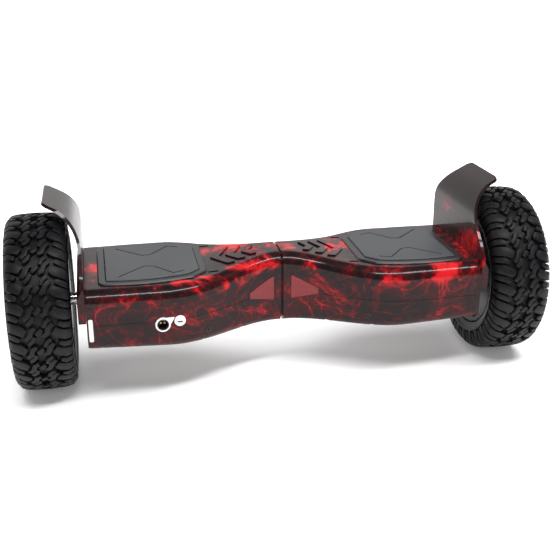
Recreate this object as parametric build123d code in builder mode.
"""Self-balancing hoverboard on two 8.5 inch hub-motor wheels, in millimetres.

+X runs along the board from the left wheel to the right wheel, -Y is the side
with the charge port, +Z is up. The origin is on the ground, under the joint
between the two halves. What both halves share is made on the right, with +X
outwards, and mirrored to the left.
"""

import os
from math import cos, radians, sin

from build123d import *

os.makedirs("parts", exist_ok=True)

# ---------------------------------------------------------------- sizes
# wheels
wheel_radius = 108.0        # 8.5 inch tyre
axle_z = wheel_radius       # the heights below are all set from the axle
tyre_width = 76.0
wheel_x = 293.0             # from the joint to the middle of a tyre
rim_radius = 66.0
rim_width = 54.0
rim_wall = 4.0
rim_lip = 4.5
shoulder_round = 14.0
tyre_side = 16.0            # height of the rounded-in foot of the tyre's side
bead_gap = 0.6
lug_count = 28
lug_gap = 6.0
lug_depth = 7.0
lug_reach = 22.0
magnet_thickness = 3.0
air_gap = 0.8
stator_width = 32.0
stator_hub_radius = 22.0
cover_thickness = 5.0
axle_radius = 8.0
axle_inner_x = 204.0
wheel_bearing_radius = 17.5
wheel_bearing_width = 11.0
running_clearance = 0.05

# body
joint_gap = 3.0             # between the two halves
body_end = 241.0            # from the joint to the end of the shells
waist_half = 32.0           # half the body's depth at the joint
shoulder_half = 89.0        # half the body's depth beside the foot pads
end_taper = 2.5             # how much each side comes in towards the wheel
shoulder_x = 144.0          # where the waist has opened out fully
crown_z = axle_z + 50.0             # top of the body at the joint
deck_z = axle_z + 39.5              # top of the body beside the foot pads
crown_x = 100.0             # where the crown has come down to the deck
waist_belly_z = axle_z - 41.0
end_belly_z = axle_z - 33.0
top_round = 16.0
belly_round = 12.0
wall = 2.6
fit_gap = 0.5               # between the shells and the castings inside them
parting_z = axle_z - 1.0    # seam between the upper and lower shells
seam_gap = 0.4              # left open between the two shells
lip_inset = 4.0             # of the plate that closes most of the joint's gap
lip_gap = 0.6               # between the two halves' plates
stations = 13

# foot pads
pad_inner_x = 95.0
pad_outer_x = 225.0
pad_inner_y = 43.0          # half length of the inner edge
pad_shoulder_x = 112.0
pad_shoulder_y = 60.0
pad_bulge_x = 172.0
pad_bulge_y = 70.0          # half width at the widest place
pad_outer_y = 65.0
pad_corner_round = 9.0
pad_frame_width = 8.5
pad_frame_rise = 2.2        # above the deck
pad_frame_sink = 1.0        # into the deck
pad_rise = 3.6              # mat top above the deck
mat_thickness = 4.6
pad_plate_thickness = 3.0
pad_gap = 0.8
pad_travel = 1.5
groove_width = 1.8
groove_depth = 1.2
plunger_radius = 4.0
pad_ledge = 3.3             # width of the ledge that carries the frame

# chevron ridges on the deck: outer point x, half length, arm width
ridge_height = 1.9
ridge_rake = 0.6            # how far back an arm runs for each mm sideways
ridges = [(47.0, 15.0, 9.5), (67.0, 22.0, 10.5), (86.0, 29.0, 11.0)]

# shallow slots in the deck beside the inner corners of each pad
slot_x, slot_y = 88.0, 46.0
slot_length, slot_width, slot_depth = 13.0, 4.4, 1.2

# fenders
fender_gap = 0.3
fender_sheet = 3.6
fender_skirt = 8.7          # thickness of the base that bolts to the shells
fender_base_z = axle_z + 2.0
fender_skirt_z = axle_z + 32.0
fender_bend_z = axle_z + wheel_radius - 29.0    # where the sheet starts to curve outwards
fender_bend_radius = 46.0
fender_bend_angle = 62.0
fender_tail = 16.0
fender_near_y = -86.0
fender_far_y = 84.0
fender_tip_near_y = -24.0
fender_tip_far_y = 64.0
fender_tip_round = 9.0
fender_screw_y = (-62.0, -34.0, 34.0, 62.0)
fender_screw_z = axle_z + 16.0

# lights
light_inner_x = 11.0
light_outer_x = 43.5
light_top_z = axle_z + 23.5
light_bottom_z = axle_z - 8.5
light_tip_top_z = axle_z + 7.0
light_tip_bottom_z = axle_z - 0.5
light_round = 1.5
lens_proud = 0.7
lens_flange = 2.0
lens_flange_thickness = 1.4
window_gap = 0.25

# pivot between the halves
pivot_radius = 15.0
pivot_bore = 9.5
pivot_reach = 62.0          # from the joint into each half
pivot_bearing_radius = 21.0
pivot_bearing_width = 9.0
pivot_bearing_x = (8.0, 49.0)
pivot_housing_radius = 26.5
housing_rib = 22.0          # thickness of the rib under the housing
circlip_width = 1.6
circlip_rise = 2.4
twist_limit = 12.0          # degrees each way
stop_pin_radius = 3.0
stop_pin_orbit = 34.0       # from the pivot's axis to the stop pin
stop_pin_reach = 11.0

# castings
bulkhead = 10.0
casting_floor_z = axle_z - 22.0
rail_y = 50.0
rail_width = 7.0
rail_start_x = 92.0
rail_top_z = axle_z + 21.0
saddle_half = 17.0
clamp_height = 13.0
clamp_split = 0.8
tray_thickness = 3.0
board_thickness = 1.6

# charge port and power button, on the left half
port_x, port_z = -154.0, axle_z - 5.0
port_flange_radius, port_radius, port_bore = 9.0, 7.6, 5.9
port_depth = 8.0            # of the wide part that guides the plug
well_radius, well_depth = 5.3, 7.0
port_floor = 3.0
port_pin_length, port_pin_radius = 6.4, 1.0
button_x, button_z = -134.0, axle_z - 2.0
button_flange_radius, button_ring_radius, button_radius = 6.7, 5.7, 4.6
button_gap = 0.35
button_travel = 1.2
button_proud = 1.6
flange_proud = 1.2
label_x, label_z = -236.5, axle_z - 6.5
label_width, label_height, label_thickness = 5.0, 28.0, 0.8

# battery and main board
battery_length, battery_width, battery_height = 104.0, 92.0, 38.0
battery_x = -148.0
strap_width, strap_thickness = 18.0, 1.2
main_board_x = 146.0
main_board_length, main_board_width = 96.0, 84.0

# fasteners
shell_screw_x = (56.0, 107.0, 225.0)
shell_screw_inset = 9.0
shell_post_radius = 6.2
screw_pocket_radius = 4.5
screw_pocket_top_z = axle_z - 20.0
screw_head_radius = 3.6
screw_head = 2.4
screw_radius = 1.75
screw_fit = 0.1
shell_screw_bite = 14.0     # how far a screw reaches above the seam
post_clearance = 0.6

joint_face = joint_gap / 2
clear = 200.0               # longer than any cut needs
pad_top_z = deck_z + pad_rise
plate_top_z = pad_top_z - mat_thickness
tray_top_z = rail_top_z + tray_thickness
bulkhead_x = body_end - wall - fit_gap


def ease(t):
    """Smooth step from 0 to 1."""
    t = min(1.0, max(0.0, t))
    return t * t * (3 - 2 * t)


def half_depth(x):
    opened = waist_half + (shoulder_half - waist_half) * ease(x / shoulder_x)
    past = max(0.0, (x - shoulder_x) / (body_end - shoulder_x))
    return opened - end_taper * past**2


def top_z(x):
    return deck_z + (crown_z - deck_z) * (1 - ease(x / crown_x))


def belly_z(x):
    return waist_belly_z + (end_belly_z - waist_belly_z) * x / body_end


# ---------------------------------------------------------------- shapes used often
def bar_x(x_start, x_end, radius, places=((0, axle_z),), mode=Mode.ADD):
    """Round bars along X, each at its (y, z)."""
    with BuildSketch(Plane.YZ.offset(x_start)) as ends:
        with Locations(*places):
            Circle(radius)
    extrude(ends.sketch, amount=x_end - x_start, mode=mode)


def bar_y(y_start, y_end, radius, places, mode=Mode.ADD):
    """Round bars along Y, each at its (x, z)."""
    with BuildSketch(Plane.XZ.offset(-y_start)) as ends:
        with Locations(*places):
            Circle(radius)
    extrude(ends.sketch, amount=y_start - y_end, mode=mode)


def bar_z(z_start, z_end, radius, places, mode=Mode.ADD):
    """Round bars along Z, each at its (x, y)."""
    with BuildSketch(Plane.XY.offset(z_start)) as ends:
        with Locations(*places):
            Circle(radius)
    extrude(ends.sketch, amount=z_end - z_start, mode=mode)


def block(x_span, y_span, z_span, mode=Mode.ADD):
    """Rectangular block between two values on each axis."""
    middle = [sum(span) / 2 for span in (x_span, y_span, z_span)]
    with Locations(tuple(middle)):
        Box(*[abs(b - a) for a, b in (x_span, y_span, z_span)], mode=mode)


def body_blank(inset, x_start, x_end):
    """Solid half body with every side moved in by inset, lofted between two x."""
    with BuildPart() as blank:
        for i in range(stations):
            x = x_start + (x_end - x_start) * i / (stations - 1)
            low, high = belly_z(x) + inset, top_z(x) - inset
            with BuildSketch(Plane.YZ.offset(x)) as section:
                with Locations((0, (low + high) / 2)):
                    Rectangle(2 * (half_depth(x) - inset), high - low)
                fillet(section.vertices().group_by(Axis.Y)[-1], top_round - inset)
                fillet(section.vertices().group_by(Axis.Y)[0], belly_round - inset)
        loft()
    return blank.part


def pad_outline(inset, z):
    """Foot pad outline at height z, moved in by inset."""
    inner, shoulder = (pad_inner_x, pad_inner_y), (pad_shoulder_x, pad_shoulder_y)
    bulge, outer = (pad_bulge_x, pad_bulge_y), (pad_outer_x, pad_outer_y)
    with BuildSketch(Plane.XY.offset(z)) as outline:
        with BuildLine():
            Line((inner[0], 0), inner)
            Line(inner, shoulder)
            ThreePointArc(shoulder, bulge, outer)
            Line(outer, (outer[0], 0))
            mirror(about=Plane.XZ)
        make_face()
        corners = [v for v in outline.vertices() if abs(v.Y) > 1]
        fillet(corners, pad_corner_round)
        if inset:
            offset(amount=-inset, mode=Mode.REPLACE)
    return outline.sketch


def light_prism(side, grow, near_y):
    """Triangular prism through one light, along Y, from near_y outwards."""
    with BuildPart() as prism:
        with BuildSketch(Plane.XZ.offset(-side * near_y)) as outline:
            with BuildLine():
                Polyline(
                    (light_inner_x, light_bottom_z),
                    (light_inner_x, light_top_z),
                    (light_outer_x, light_tip_top_z),
                    (light_outer_x, light_tip_bottom_z),
                    close=True,
                )
            make_face()
            fillet(outline.vertices(), light_round)
            if grow:
                offset(amount=grow, mode=Mode.REPLACE)
        extrude(amount=-side * clear)
    return prism.part


def shell_screw_places():
    """(x, y) of the screws that hold the two shells of a half together."""
    rows = [(x, half_depth(x) - shell_screw_inset) for x in shell_screw_x]
    return [(x, side * y) for x, y in rows for side in (-1, 1)]


def write(name, part):
    part.label = name
    export_step(part, f"parts/{name}.step")


def write_pair(name, part):
    """Writes the right-hand piece and its mirror image for the left half."""
    write(f"right_{name}", part)
    write(f"left_{name}", mirror(part, about=Plane.YZ))


outer_blank = body_blank(0, joint_face, body_end)
joint_plate = body_blank(lip_inset, lip_gap / 2, joint_face + wall)
inner_blank = body_blank(wall, joint_face + wall, body_end - wall)
post_blank = body_blank(wall / 2, joint_face, body_end)
casting_gap = wall + fit_gap
casting_blank = body_blank(casting_gap, joint_face + casting_gap, body_end - casting_gap)
casting_start = joint_face + casting_gap
screw_places = shell_screw_places()
fender_screw_places = [(y, fender_screw_z) for y in fender_screw_y]
stop_slot_middle = (0, axle_z + stop_pin_orbit)
stop_slot_places = [
    (stop_pin_orbit * sin(radians(a)), axle_z + stop_pin_orbit * cos(radians(a)))
    for a in (-twist_limit, twist_limit)
]


def stop_slot(x_start, x_end, margin):
    """Curved slot that the stop pin swings in."""
    with BuildSketch(Plane.YZ.offset(x_start)) as slot:
        path = Edge.make_three_point_arc(
            stop_slot_places[0], stop_slot_middle, stop_slot_places[1]
        )
        SlotArc(path, 2 * (stop_pin_radius + margin))
    extrude(slot.sketch, amount=x_end - x_start, mode=Mode.SUBTRACT)


def shell_openings():
    """Holes that both shells of a half share: pivot, axle, stop pin and windows."""
    bar_x(0, casting_start, pivot_radius + 2, mode=Mode.SUBTRACT)
    bar_x(body_end - 2 * wall, body_end + 1, axle_radius + 3, mode=Mode.SUBTRACT)
    stop_slot(0, casting_start, 2)
    for side in (-1, 1):
        add(light_prism(side, window_gap, waist_half / 2), mode=Mode.SUBTRACT)


# ---------------------------------------------------------------- shells
with BuildPart() as upper_shell:
    add(outer_blank)
    add(inner_blank, mode=Mode.SUBTRACT)
    add(joint_plate)
    for point_x, half, arm in ridges:
        back = ridge_rake * half
        with BuildPart(mode=Mode.PRIVATE) as ridge:
            with BuildSketch(Plane.XY.offset(deck_z - wall)) as chevron:
                with BuildLine():
                    Polyline(
                        (point_x, 0),
                        (point_x - back, half),
                        (point_x - back - arm, half),
                        (point_x - arm, 0),
                        (point_x - back - arm, -half),
                        (point_x - back, -half),
                        close=True,
                    )
                make_face()
                fillet(chevron.vertices(), 1.5)
            extrude(amount=clear)
            add(body_blank(-ridge_height, joint_face, body_end), mode=Mode.INTERSECT)
            add(post_blank, mode=Mode.SUBTRACT)
        add(ridge.part)
    with BuildSketch(Plane.XY.offset(top_z(slot_x) - slot_depth)) as slots:
        with Locations((slot_x, slot_y), (slot_x, -slot_y)):
            SlotOverall(slot_length, slot_width)
    extrude(slots.sketch, amount=clear, mode=Mode.SUBTRACT)
    extrude(pad_outline(-pad_gap / 2, deck_z - pad_frame_sink), amount=clear, mode=Mode.SUBTRACT)
    extrude(pad_outline(pad_ledge, deck_z - clear / 4), amount=clear, mode=Mode.SUBTRACT)
    shell_openings()
    bar_x(body_end - 2 * wall, body_end + 1, screw_radius + screw_fit, fender_screw_places,
          mode=Mode.SUBTRACT)
    block((0, body_end + 1), (-clear, clear), (0, parting_z + seam_gap), mode=Mode.SUBTRACT)
    with BuildPart(mode=Mode.PRIVATE) as posts:
        bar_z(parting_z, crown_z, shell_post_radius - 1.4, screw_places)
        add(post_blank, mode=Mode.INTERSECT)
    add(posts.part)
    bar_z(parting_z, parting_z + shell_screw_bite + 2, screw_radius + screw_fit, screw_places,
          mode=Mode.SUBTRACT)

write_pair("upper_shell", upper_shell.part)

with BuildPart() as lower_shell:
    add(outer_blank)
    add(inner_blank, mode=Mode.SUBTRACT)
    add(joint_plate)
    shell_openings()
    block((0, body_end + 1), (-clear, clear), (parting_z, 2 * clear), mode=Mode.SUBTRACT)
    with BuildPart(mode=Mode.PRIVATE) as posts:
        bar_z(0, parting_z, shell_post_radius, screw_places)
        add(post_blank, mode=Mode.INTERSECT)
    add(posts.part)
    bar_z(0, screw_pocket_top_z, screw_pocket_radius, screw_places, mode=Mode.SUBTRACT)
    bar_z(0, clear, screw_radius + screw_fit, screw_places, mode=Mode.SUBTRACT)

write("right_lower_shell", lower_shell.part)
left_lower_blank = mirror(lower_shell.part, about=Plane.YZ)

# ---------------------------------------------------------------- casting
with BuildPart() as chassis:
    add(casting_blank)
    rail_inner, rail_outer = rail_y, rail_y + rail_width
    # open the casting above its floor, leaving the two bulkheads
    block((casting_start + bulkhead, bulkhead_x - bulkhead), (-clear, clear),
          (casting_floor_z, 2 * clear), mode=Mode.SUBTRACT)
    block((bulkhead_x - bulkhead - 1, clear * 2), (-clear, clear), (rail_top_z, 2 * clear),
          mode=Mode.SUBTRACT)
    for side in (-1, 1):
        block((rail_start_x, bulkhead_x - bulkhead), (side * rail_inner, side * rail_outer),
              (casting_floor_z, rail_top_z))
        add(light_prism(side, lens_flange + 1, waist_half - 5), mode=Mode.SUBTRACT)
    # pivot housing on a rib, and the saddle under the axle
    bar_x(casting_start, pivot_reach, pivot_housing_radius)
    block((casting_start, pivot_reach), (-housing_rib / 2, housing_rib / 2),
          (casting_floor_z - 1, axle_z))
    block((axle_inner_x - 2, bulkhead_x), (-saddle_half, saddle_half),
          (casting_floor_z, axle_z - clamp_split / 2))
    bar_x(axle_inner_x - 3, clear * 2, axle_radius, mode=Mode.SUBTRACT)
    block((axle_inner_x - 3, bulkhead_x - bulkhead), (-saddle_half - 1, saddle_half + 1),
          (axle_z - clamp_split / 2, rail_top_z), mode=Mode.SUBTRACT)
    bar_x(bulkhead_x - bulkhead - 1, clear * 2, screw_radius + screw_fit / 2,
          fender_screw_places, mode=Mode.SUBTRACT)
    bar_z(0, clear, shell_post_radius + post_clearance, screw_places, mode=Mode.SUBTRACT)

# the left casting grips the pivot tube and the stop pin
with BuildPart() as left_chassis:
    add(mirror(chassis.part, about=Plane.YZ))
    bar_x(-clear, 0, pivot_radius, mode=Mode.SUBTRACT)
    bar_x(-casting_start - stop_pin_reach, 0, stop_pin_radius, [stop_slot_middle],
          mode=Mode.SUBTRACT)

# the right casting holds the two bearings that the tube turns in
with BuildPart() as right_chassis:
    add(chassis.part)
    bar_x(0, clear / 2, pivot_radius + 1.5, mode=Mode.SUBTRACT)
    for x in pivot_bearing_x:
        bar_x(x, x + pivot_bearing_width, pivot_bearing_radius, mode=Mode.SUBTRACT)
    bar_x(0, pivot_bearing_x[0], pivot_bearing_radius, mode=Mode.SUBTRACT)
    bar_x(pivot_bearing_x[1], clear / 2, pivot_bearing_radius, mode=Mode.SUBTRACT)
    stop_slot(0, casting_start + bulkhead + 1, 0.5)

write("left_chassis", left_chassis.part)
write("right_chassis", right_chassis.part)

with BuildPart() as axle_clamp:
    clamp_inner = axle_inner_x
    clamp_outer = bulkhead_x - bulkhead - clamp_split
    block((clamp_inner, clamp_outer), (-saddle_half, saddle_half),
          (axle_z + clamp_split / 2, axle_z + clamp_height))
    bar_x(0, clear * 2, axle_radius, mode=Mode.SUBTRACT)
    fillet(axle_clamp.edges().filter_by(Axis.X).group_by(Axis.Z)[-1], 2)

write_pair("axle_clamp", axle_clamp.part)

# ---------------------------------------------------------------- pivot
with BuildPart() as pivot_tube:
    bar_x(-pivot_reach, pivot_reach, pivot_radius)
    bar_x(-pivot_reach, pivot_reach, pivot_bore, mode=Mode.SUBTRACT)
    groove_x = pivot_bearing_x[1] + pivot_bearing_width + 0.2
    bar_x(groove_x, groove_x + circlip_width, pivot_radius + 1, mode=Mode.SUBTRACT)
    bar_x(groove_x - 0.5, groove_x + circlip_width + 0.5, pivot_radius - 1)
    bar_x(-pivot_reach, pivot_reach, pivot_bore, mode=Mode.SUBTRACT)

write("pivot_tube", pivot_tube.part)

with BuildPart() as circlip:
    bar_x(groove_x + 0.1, groove_x + circlip_width - 0.1, pivot_radius + circlip_rise)
    bar_x(0, clear, pivot_radius - 1, mode=Mode.SUBTRACT)
    block((0, clear), (-3, 3), (axle_z, clear), mode=Mode.SUBTRACT)

write("pivot_circlip", circlip.part)

with BuildPart() as pivot_bearings:
    for x in pivot_bearing_x:
        bar_x(x, x + pivot_bearing_width, pivot_bearing_radius)
    bar_x(0, clear, pivot_radius + running_clearance, mode=Mode.SUBTRACT)

write("pivot_bearings", pivot_bearings.part)

with BuildPart() as stop_pin:
    bar_x(-casting_start - stop_pin_reach, casting_start + bulkhead, stop_pin_radius,
          [stop_slot_middle])
    chamfer(stop_pin.edges().group_by(Axis.X)[-1], 0.8)

write("twist_stop_pin", stop_pin.part)

# ---------------------------------------------------------------- foot pads
with BuildPart() as pad_frame:
    inner_edge = pad_frame_width
    extrude(pad_outline(0, deck_z - pad_frame_sink), amount=pad_frame_sink + pad_frame_rise)
    chamfer(pad_frame.faces().sort_by(Axis.Z)[-1].edges(), 1.4)
    extrude(pad_outline(pad_ledge + 0.3, deck_z - 3 * wall), amount=3 * wall)
    extrude(pad_outline(inner_edge, 0), amount=2 * clear, mode=Mode.SUBTRACT)

write_pair("pad_frame", pad_frame.part)

pad_inset = pad_frame_width + pad_gap
pad_middle_x = (pad_inner_x + pad_outer_x) / 2
with BuildPart() as foot_mat:
    extrude(pad_outline(pad_inset, plate_top_z), amount=mat_thickness)
    chamfer(foot_mat.faces().sort_by(Axis.Z)[-1].edges(), 0.8)
    for side in (-1, 1):
        with BuildSketch(Plane.XY.offset(pad_top_z - groove_depth)) as groove:
            with BuildLine():
                Polyline(
                    (pad_middle_x - 38, side * 42),
                    (pad_middle_x - 24, side * 48),
                    (pad_middle_x - 2, side * 21),
                    (pad_middle_x + 9, side * 19),
                    (pad_middle_x + 41, side * 50),
                )
            trace(line_width=groove_width)
        extrude(groove.sketch, amount=2 * groove_depth, mode=Mode.SUBTRACT)

write_pair("foot_mat", foot_mat.part)

plunger_places = [
    (pad_middle_x + dx, dy) for dx in (-34, 34) for dy in (-30, 30)
]
tray_board_top = tray_top_z + board_thickness
with BuildPart() as pad_plate:
    extrude(pad_outline(pad_inset, plate_top_z - pad_plate_thickness), amount=pad_plate_thickness)
    bar_z(tray_board_top + pad_travel + 0.3, plate_top_z - pad_plate_thickness / 2,
          plunger_radius, plunger_places)

write_pair("pad_plate", pad_plate.part)

with BuildPart() as pad_tray:
    extrude(pad_outline(pad_inset + 2, rail_top_z), amount=tray_thickness)

write_pair("pad_tray", pad_tray.part)

with BuildPart() as sensor_board:
    block((pad_middle_x - 46, pad_middle_x + 46), (-40, 40), (tray_top_z, tray_board_top))

write_pair("sensor_board", sensor_board.part)

# ---------------------------------------------------------------- lights
lens_outer = body_blank(-lens_proud, joint_face, body_end)
flange_inner = body_blank(casting_gap - 0.4 + lens_flange_thickness, joint_face, body_end)


def light_lens(side):
    with BuildPart() as lens:
        add(light_prism(side, 0, waist_half / 2))
        add(lens_outer, mode=Mode.INTERSECT)
        with BuildPart(mode=Mode.PRIVATE) as flange:
            add(light_prism(side, lens_flange, waist_half / 2))
            add(inner_blank, mode=Mode.INTERSECT)
        add(flange.part)
        add(flange_inner, mode=Mode.SUBTRACT)
    return lens.part


write_pair("tail_lens", light_lens(-1))
write_pair("head_lens", light_lens(1))

with BuildPart() as light_boards:
    board_start = casting_start + bulkhead + 0.6
    for side in (-1, 1):
        board_y = side * (pivot_housing_radius + 0.3)
        block((board_start, light_outer_x - 6), (board_y, board_y + side * board_thickness),
              (light_bottom_z + 3, light_tip_top_z + 4))

write_pair("light_boards", light_boards.part)

# ---------------------------------------------------------------- fenders
with BuildPart() as fender:
    sheet_x = body_end + fender_gap
    bend = radians(fender_bend_angle)
    centre_x = sheet_x + fender_sheet + fender_bend_radius

    def bend_point(radius, angle, along=0.0):
        return (centre_x - radius * cos(angle) + along * sin(angle),
                fender_bend_z + radius * sin(angle) + along * cos(angle))

    outer_radius = fender_bend_radius + fender_sheet
    with BuildSketch(Plane.XZ.offset(-clear / 2)) as profile:
        with BuildLine():
            Line((sheet_x, fender_base_z), bend_point(outer_radius, 0))
            ThreePointArc(bend_point(outer_radius, 0), bend_point(outer_radius, bend / 2),
                          bend_point(outer_radius, bend))
            Polyline(bend_point(outer_radius, bend), bend_point(outer_radius, bend, fender_tail),
                     bend_point(fender_bend_radius, bend, fender_tail),
                     bend_point(fender_bend_radius, bend))
            ThreePointArc(bend_point(fender_bend_radius, bend),
                          bend_point(fender_bend_radius, bend / 2),
                          bend_point(fender_bend_radius, 0))
            Polyline(bend_point(fender_bend_radius, 0),
                     (sheet_x + fender_sheet, fender_skirt_z + 8),
                     (sheet_x + fender_skirt, fender_skirt_z),
                     (sheet_x + fender_skirt, fender_base_z), (sheet_x, fender_base_z))
        make_face()
    extrude(profile.sketch, amount=clear)
    tip_z = fender_bend_z + 1.2 * outer_radius + fender_tail
    with BuildPart(mode=Mode.PRIVATE) as outline:
        with BuildSketch(Plane.YZ):
            with BuildLine():
                near = [
                    (fender_near_y, fender_skirt_z + 9),
                    (fender_near_y + 19, fender_bend_z - 12),
                    (fender_near_y + 43, fender_bend_z + 16),
                    (fender_tip_near_y, fender_bend_z + 42),
                ]
                far = [
                    (fender_far_y, fender_skirt_z + 9),
                    (fender_far_y - 4, fender_bend_z + 18),
                    (fender_tip_far_y, fender_bend_z + 42),
                ]
                Spline(*near, tangents=[(0.2, 1), (0.8, 1)])
                Spline(*far, tangents=[(0, 1), (-0.6, 1)])
                Line((fender_near_y, fender_base_z), near[0])
                Line((fender_far_y, fender_base_z), far[0])
                Line((fender_near_y, fender_base_z), (fender_far_y, fender_base_z))
                Polyline(near[-1], (fender_tip_near_y + 6, tip_z), (fender_tip_far_y - 4, tip_z),
                         far[-1])
            make_face()
        extrude(amount=2 * clear)
    add(outline.part, mode=Mode.INTERSECT)
    across_sheet = fender.edges().filter_by(lambda e: abs(e.length - fender_sheet) < 0.1)
    fillet(across_sheet.sort_by(Axis.Z)[-2:], fender_tip_round)
    with BuildSketch(Plane.YZ) as notch:
        with Locations((0, axle_z)):
            SlotOverall(4 * axle_radius, 2 * axle_radius + 8, rotation=90)
    extrude(notch.sketch, amount=2 * clear, mode=Mode.SUBTRACT)
    head_x = sheet_x + fender_skirt - screw_head
    bar_x(0, 2 * clear, screw_radius + screw_fit, fender_screw_places, mode=Mode.SUBTRACT)
    bar_x(head_x, 2 * clear, screw_head_radius + screw_fit, fender_screw_places,
          mode=Mode.SUBTRACT)

write_pair("fender", fender.part)

# one size of screw, long ones up through the shells and short ones through the fender
with BuildPart() as body_screws:
    bar_z(screw_pocket_top_z - screw_head, screw_pocket_top_z, screw_head_radius, screw_places)
    bar_z(screw_pocket_top_z, parting_z + shell_screw_bite, screw_radius, screw_places)
    bar_x(head_x, head_x + screw_head, screw_head_radius, fender_screw_places)
    bar_x(bulkhead_x - bulkhead + 1, head_x, screw_radius, fender_screw_places)

write_pair("body_screws", body_screws.part)

# ---------------------------------------------------------------- wheels
tyre_inner_x = wheel_x - tyre_width / 2
tyre_outer_x = wheel_x + tyre_width / 2
rim_inner_x = wheel_x - rim_width / 2
rim_outer_x = wheel_x + rim_width / 2
cover_radius = rim_radius + rim_lip
drum_bore = rim_radius - rim_wall
magnet_bore = drum_bore - magnet_thickness


def turned(points, rounded=None):
    """Solid of revolution about the axle; points are (x, radius)."""
    with BuildPart() as ring:
        with BuildSketch(Plane.XZ.offset(0)) as profile:
            with BuildLine():
                Polyline(*[(x, axle_z + r) for x, r in points], close=True)
            make_face()
            if rounded:
                picked, size = rounded
                fillet(profile.vertices().sort_by(Axis.Y)[-picked:], size)
        revolve(axis=Axis((0, 0, axle_z), (1, 0, 0)))
    return ring.part


with BuildPart() as tyre:
    add(turned([
        (rim_inner_x, rim_radius), (rim_inner_x, cover_radius + bead_gap),
        (rim_inner_x - cover_thickness, cover_radius + 2 * bead_gap),
        (tyre_inner_x, rim_radius + tyre_side), (tyre_inner_x, wheel_radius),
        (tyre_outer_x, wheel_radius), (tyre_outer_x, rim_radius + tyre_side),
        (rim_outer_x + cover_thickness, cover_radius + 2 * bead_gap),
        (rim_outer_x, cover_radius + bead_gap), (rim_outer_x, rim_radius),
    ], (2, shoulder_round)))
    # gaps between the shoulder lugs
    for i in range(lug_count):
        for side in (-1, 1):
            turn = 360 / lug_count * (i + (0.25 if side > 0 else -0.25))
            spoke = Location((wheel_x, 0, axle_z), (turn, 0, 0))
            edge = Location((side * tyre_width / 2, 0, wheel_radius), (0, 0, side * 20))
            with Locations(spoke * edge):
                Box(2 * lug_reach, lug_gap, 2 * lug_depth, mode=Mode.SUBTRACT)

write_pair("tyre", tyre.part)

magnet_span = stator_width + 2
with BuildPart() as magnet_ring:
    add(turned([
        (wheel_x - magnet_span / 2, magnet_bore), (wheel_x - magnet_span / 2, drum_bore),
        (wheel_x + magnet_span / 2, drum_bore), (wheel_x + magnet_span / 2, magnet_bore),
    ]))

write_pair("magnet_ring", magnet_ring.part)

# covers that close the drum and hold the bearings
cover_screw_orbit = drum_bore + rim_wall / 2
cover_screw_places = [
    (cover_screw_orbit * cos(radians(a)), axle_z + cover_screw_orbit * sin(radians(a)))
    for a in range(0, 360, 60)
]
hub_x = {
    "inner": (rim_inner_x - cover_thickness, rim_inner_x, 1),
    "outer": (rim_outer_x + cover_thickness, rim_outer_x, -1),
}
screw_tip = 10.0
small_screw = 1.4
small_head = 2.6


def motor_cover(face_x, seat_x, inward):
    """Disc against the drum's end, with a boss round its bearing."""
    with BuildPart() as cover:
        bar_x(min(face_x, seat_x), max(face_x, seat_x), cover_radius)
        boss = seat_x + inward * (wheel_bearing_width - cover_thickness)
        bar_x(min(seat_x, boss), max(seat_x, boss), wheel_bearing_radius + 4)
        bar_x(min(face_x, boss), max(face_x, boss), wheel_bearing_radius, mode=Mode.SUBTRACT)
        bar_x(min(face_x, seat_x), max(face_x, seat_x), small_screw + screw_fit,
              cover_screw_places, mode=Mode.SUBTRACT)
    return cover.part


with BuildPart() as inner_cover:
    add(motor_cover(*hub_x["inner"]))

write_pair("inner_motor_cover", inner_cover.part)

with BuildPart() as outer_cover:
    add(motor_cover(*hub_x["outer"]))

write_pair("outer_motor_cover", outer_cover.part)

with BuildPart() as hub_cap:
    cap_x = hub_x["outer"][0]
    bar_x(cap_x, cap_x + 4, wheel_bearing_radius + 6)
    fillet(hub_cap.edges().group_by(Axis.X)[-1], 2.5)

write_pair("hub_cap", hub_cap.part)

with BuildPart() as wheel_bearings:
    for face_x, seat_x, inward in hub_x.values():
        boss = seat_x + inward * (wheel_bearing_width - cover_thickness)
        bar_x(min(face_x, boss), max(face_x, boss), wheel_bearing_radius)
    bar_x(0, 2 * clear, axle_radius + running_clearance, mode=Mode.SUBTRACT)

write_pair("wheel_bearings", wheel_bearings.part)

with BuildPart() as cover_screws:
    for face_x, seat_x, inward in hub_x.values():
        bar_x(face_x - inward * 1.6, face_x, small_head, cover_screw_places)
        end = seat_x + inward * screw_tip
        bar_x(min(face_x, end), max(face_x, end), small_screw, cover_screw_places)

write_pair("cover_screws", cover_screws.part)

with BuildPart() as rim:
    add(turned([
        (rim_inner_x, drum_bore), (rim_inner_x, rim_radius), (rim_outer_x, rim_radius),
        (rim_outer_x, drum_bore),
    ]))
    for face_x, seat_x, inward in hub_x.values():
        end = seat_x + inward * screw_tip
        bar_x(min(seat_x, end), max(seat_x, end), small_screw, cover_screw_places,
              mode=Mode.SUBTRACT)

write_pair("rim", rim.part)

axle_tip_x = hub_x["outer"][0] - 0.6
with BuildPart() as axle:
    bar_x(axle_inner_x, axle_tip_x, axle_radius)
    chamfer(axle.edges().group_by(Axis.X)[-1], 0.8)

write_pair("axle", axle.part)

with BuildPart() as stator:
    stator_start, stator_end = wheel_x - stator_width / 2, wheel_x + stator_width / 2
    bar_x(stator_start, stator_end, stator_hub_radius)
    tooth_reach = magnet_bore - air_gap
    bar_x(stator_start + 4, stator_end - 4, tooth_reach)
    bar_x(0, 2 * clear, axle_radius, mode=Mode.SUBTRACT)

write_pair("motor_stator", stator.part)

# ---------------------------------------------------------------- charge port and button
def face_y(x):
    """Y of the near face of the left half at x."""
    return -half_depth(abs(x))


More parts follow.
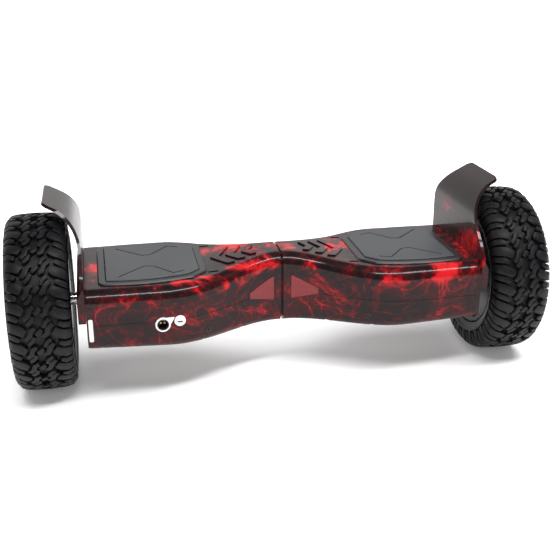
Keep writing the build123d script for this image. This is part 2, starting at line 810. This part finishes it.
port_place = [(port_x, port_z)]
button_place = [(button_x, button_z)]
port_face = face_y(port_x)
port_mouth = port_face - flange_proud
well_end = port_mouth + port_depth + well_depth
button_face = face_y(button_x)
with BuildPart() as port_socket:
    bar_y(port_mouth, port_face + 0.6, port_flange_radius, port_place)
    fillet(port_socket.faces().sort_by(Axis.Y)[0].edges(), 0.8)
    bar_y(port_face, well_end + port_floor, port_radius, port_place)
    bar_y(port_mouth, port_mouth + port_depth, port_bore, port_place, mode=Mode.SUBTRACT)
    bar_y(port_mouth, well_end, well_radius, port_place, mode=Mode.SUBTRACT)

write("charge_socket", port_socket.part)

pin_orbit = well_radius / 2
with BuildPart() as port_pins:
    bar_y(well_end - port_pin_length, well_end, port_pin_radius,
          [(port_x + pin_orbit * cos(radians(a)), port_z + pin_orbit * sin(radians(a)))
           for a in (90, 210, 330)])

write("charge_pins", port_pins.part)

with BuildPart() as button_ring:
    bar_y(button_face - flange_proud, button_face + 0.8, button_flange_radius, button_place)
    fillet(button_ring.faces().sort_by(Axis.Y)[0].edges(), 0.8)
    bar_y(button_face, button_face + 12, button_ring_radius, button_place)
    bar_y(button_face - 5, button_face + 9, button_radius + button_gap, button_place,
          mode=Mode.SUBTRACT)

write("button_ring", button_ring.part)

with BuildPart() as power_button:
    bar_y(button_face - flange_proud - button_proud, button_face + 9 - button_travel - 0.4,
          button_radius, button_place)
    fillet(power_button.faces().sort_by(Axis.Y)[0].edges(), 0.8)

write("power_button", power_button.part)

with BuildPart() as blank_label:
    label_y = face_y(label_x)
    block((label_x - label_width / 2, label_x + label_width / 2),
          (label_y - label_thickness, label_y + wall / 2),
          (label_z - label_height / 2, label_z + label_height / 2))
    fillet(blank_label.edges().filter_by(Axis.Y), 1.6)
    add(mirror(outer_blank, about=Plane.YZ), mode=Mode.SUBTRACT)

write("blank_label", blank_label.part)

with BuildPart() as left_lower_shell:
    add(left_lower_blank)
    bar_y(port_face - 5, port_face + 3 * wall, port_radius + screw_fit, port_place,
          mode=Mode.SUBTRACT)
    bar_y(button_face - 5, button_face + 3 * wall, button_ring_radius + screw_fit, button_place,
          mode=Mode.SUBTRACT)
    bar_y(port_face - 5, port_face + 0.6, port_flange_radius + screw_fit, port_place,
          mode=Mode.SUBTRACT)
    bar_y(button_face - 5, button_face + 0.8, button_flange_radius + screw_fit, button_place,
          mode=Mode.SUBTRACT)

write("left_lower_shell", left_lower_shell.part)

with BuildPart() as left_upper_shell:
    add(mirror(upper_shell.part, about=Plane.YZ))
    bar_y(port_face - 5, port_face + 3 * wall, port_flange_radius + screw_fit, port_place,
          mode=Mode.SUBTRACT)
    bar_y(button_face - 5, button_face + 3 * wall, button_flange_radius + screw_fit,
          button_place, mode=Mode.SUBTRACT)

write("left_upper_shell", left_upper_shell.part)

# ---------------------------------------------------------------- battery and main board
battery_span = (battery_x - battery_length / 2, battery_x + battery_length / 2)
battery_top = casting_floor_z + battery_height
with BuildPart() as battery:
    block(battery_span, (-battery_width / 2, battery_width / 2),
          (casting_floor_z, battery_top))
    fillet(battery.edges().filter_by(Axis.X), 8)

write("battery_pack", battery.part)

with BuildPart() as strap:
    half_strap = battery_width / 2 + strap_thickness
    for x in (battery_x - battery_length / 4, battery_x + battery_length / 4):
        span = (x - strap_width / 2, x + strap_width / 2)
        block(span, (-half_strap, half_strap), (casting_floor_z, battery_top + strap_thickness))
    block(battery_span, (-battery_width / 2, battery_width / 2),
          (casting_floor_z - 1, battery_top), mode=Mode.SUBTRACT)

write("battery_straps", strap.part)

board_z = casting_floor_z + 6
board_x_span = (main_board_x - main_board_length / 2, main_board_x + main_board_length / 2)
with BuildPart() as main_board:
    block(board_x_span, (-main_board_width / 2, main_board_width / 2),
          (board_z, board_z + board_thickness))
    board_top = board_z + board_thickness
    bar_z(casting_floor_z, board_top, 3,
          [(main_board_x + dx * (main_board_length / 2 - 5), dy * (main_board_width / 2 - 5))
           for dx in (-1, 1) for dy in (-1, 1)])
    block((main_board_x - 30, main_board_x + 30), (18, 34), (board_top, board_top + 16))
    bar_z(board_top, board_top + 22, 8, [(main_board_x - 24, -20), (main_board_x, -20)])
    for i in range(4):
        left = main_board_x + 16 + i * 8
        block((left, left + 6), (-38, -28), (board_top, board_top + 7))

write("main_board", main_board.part)
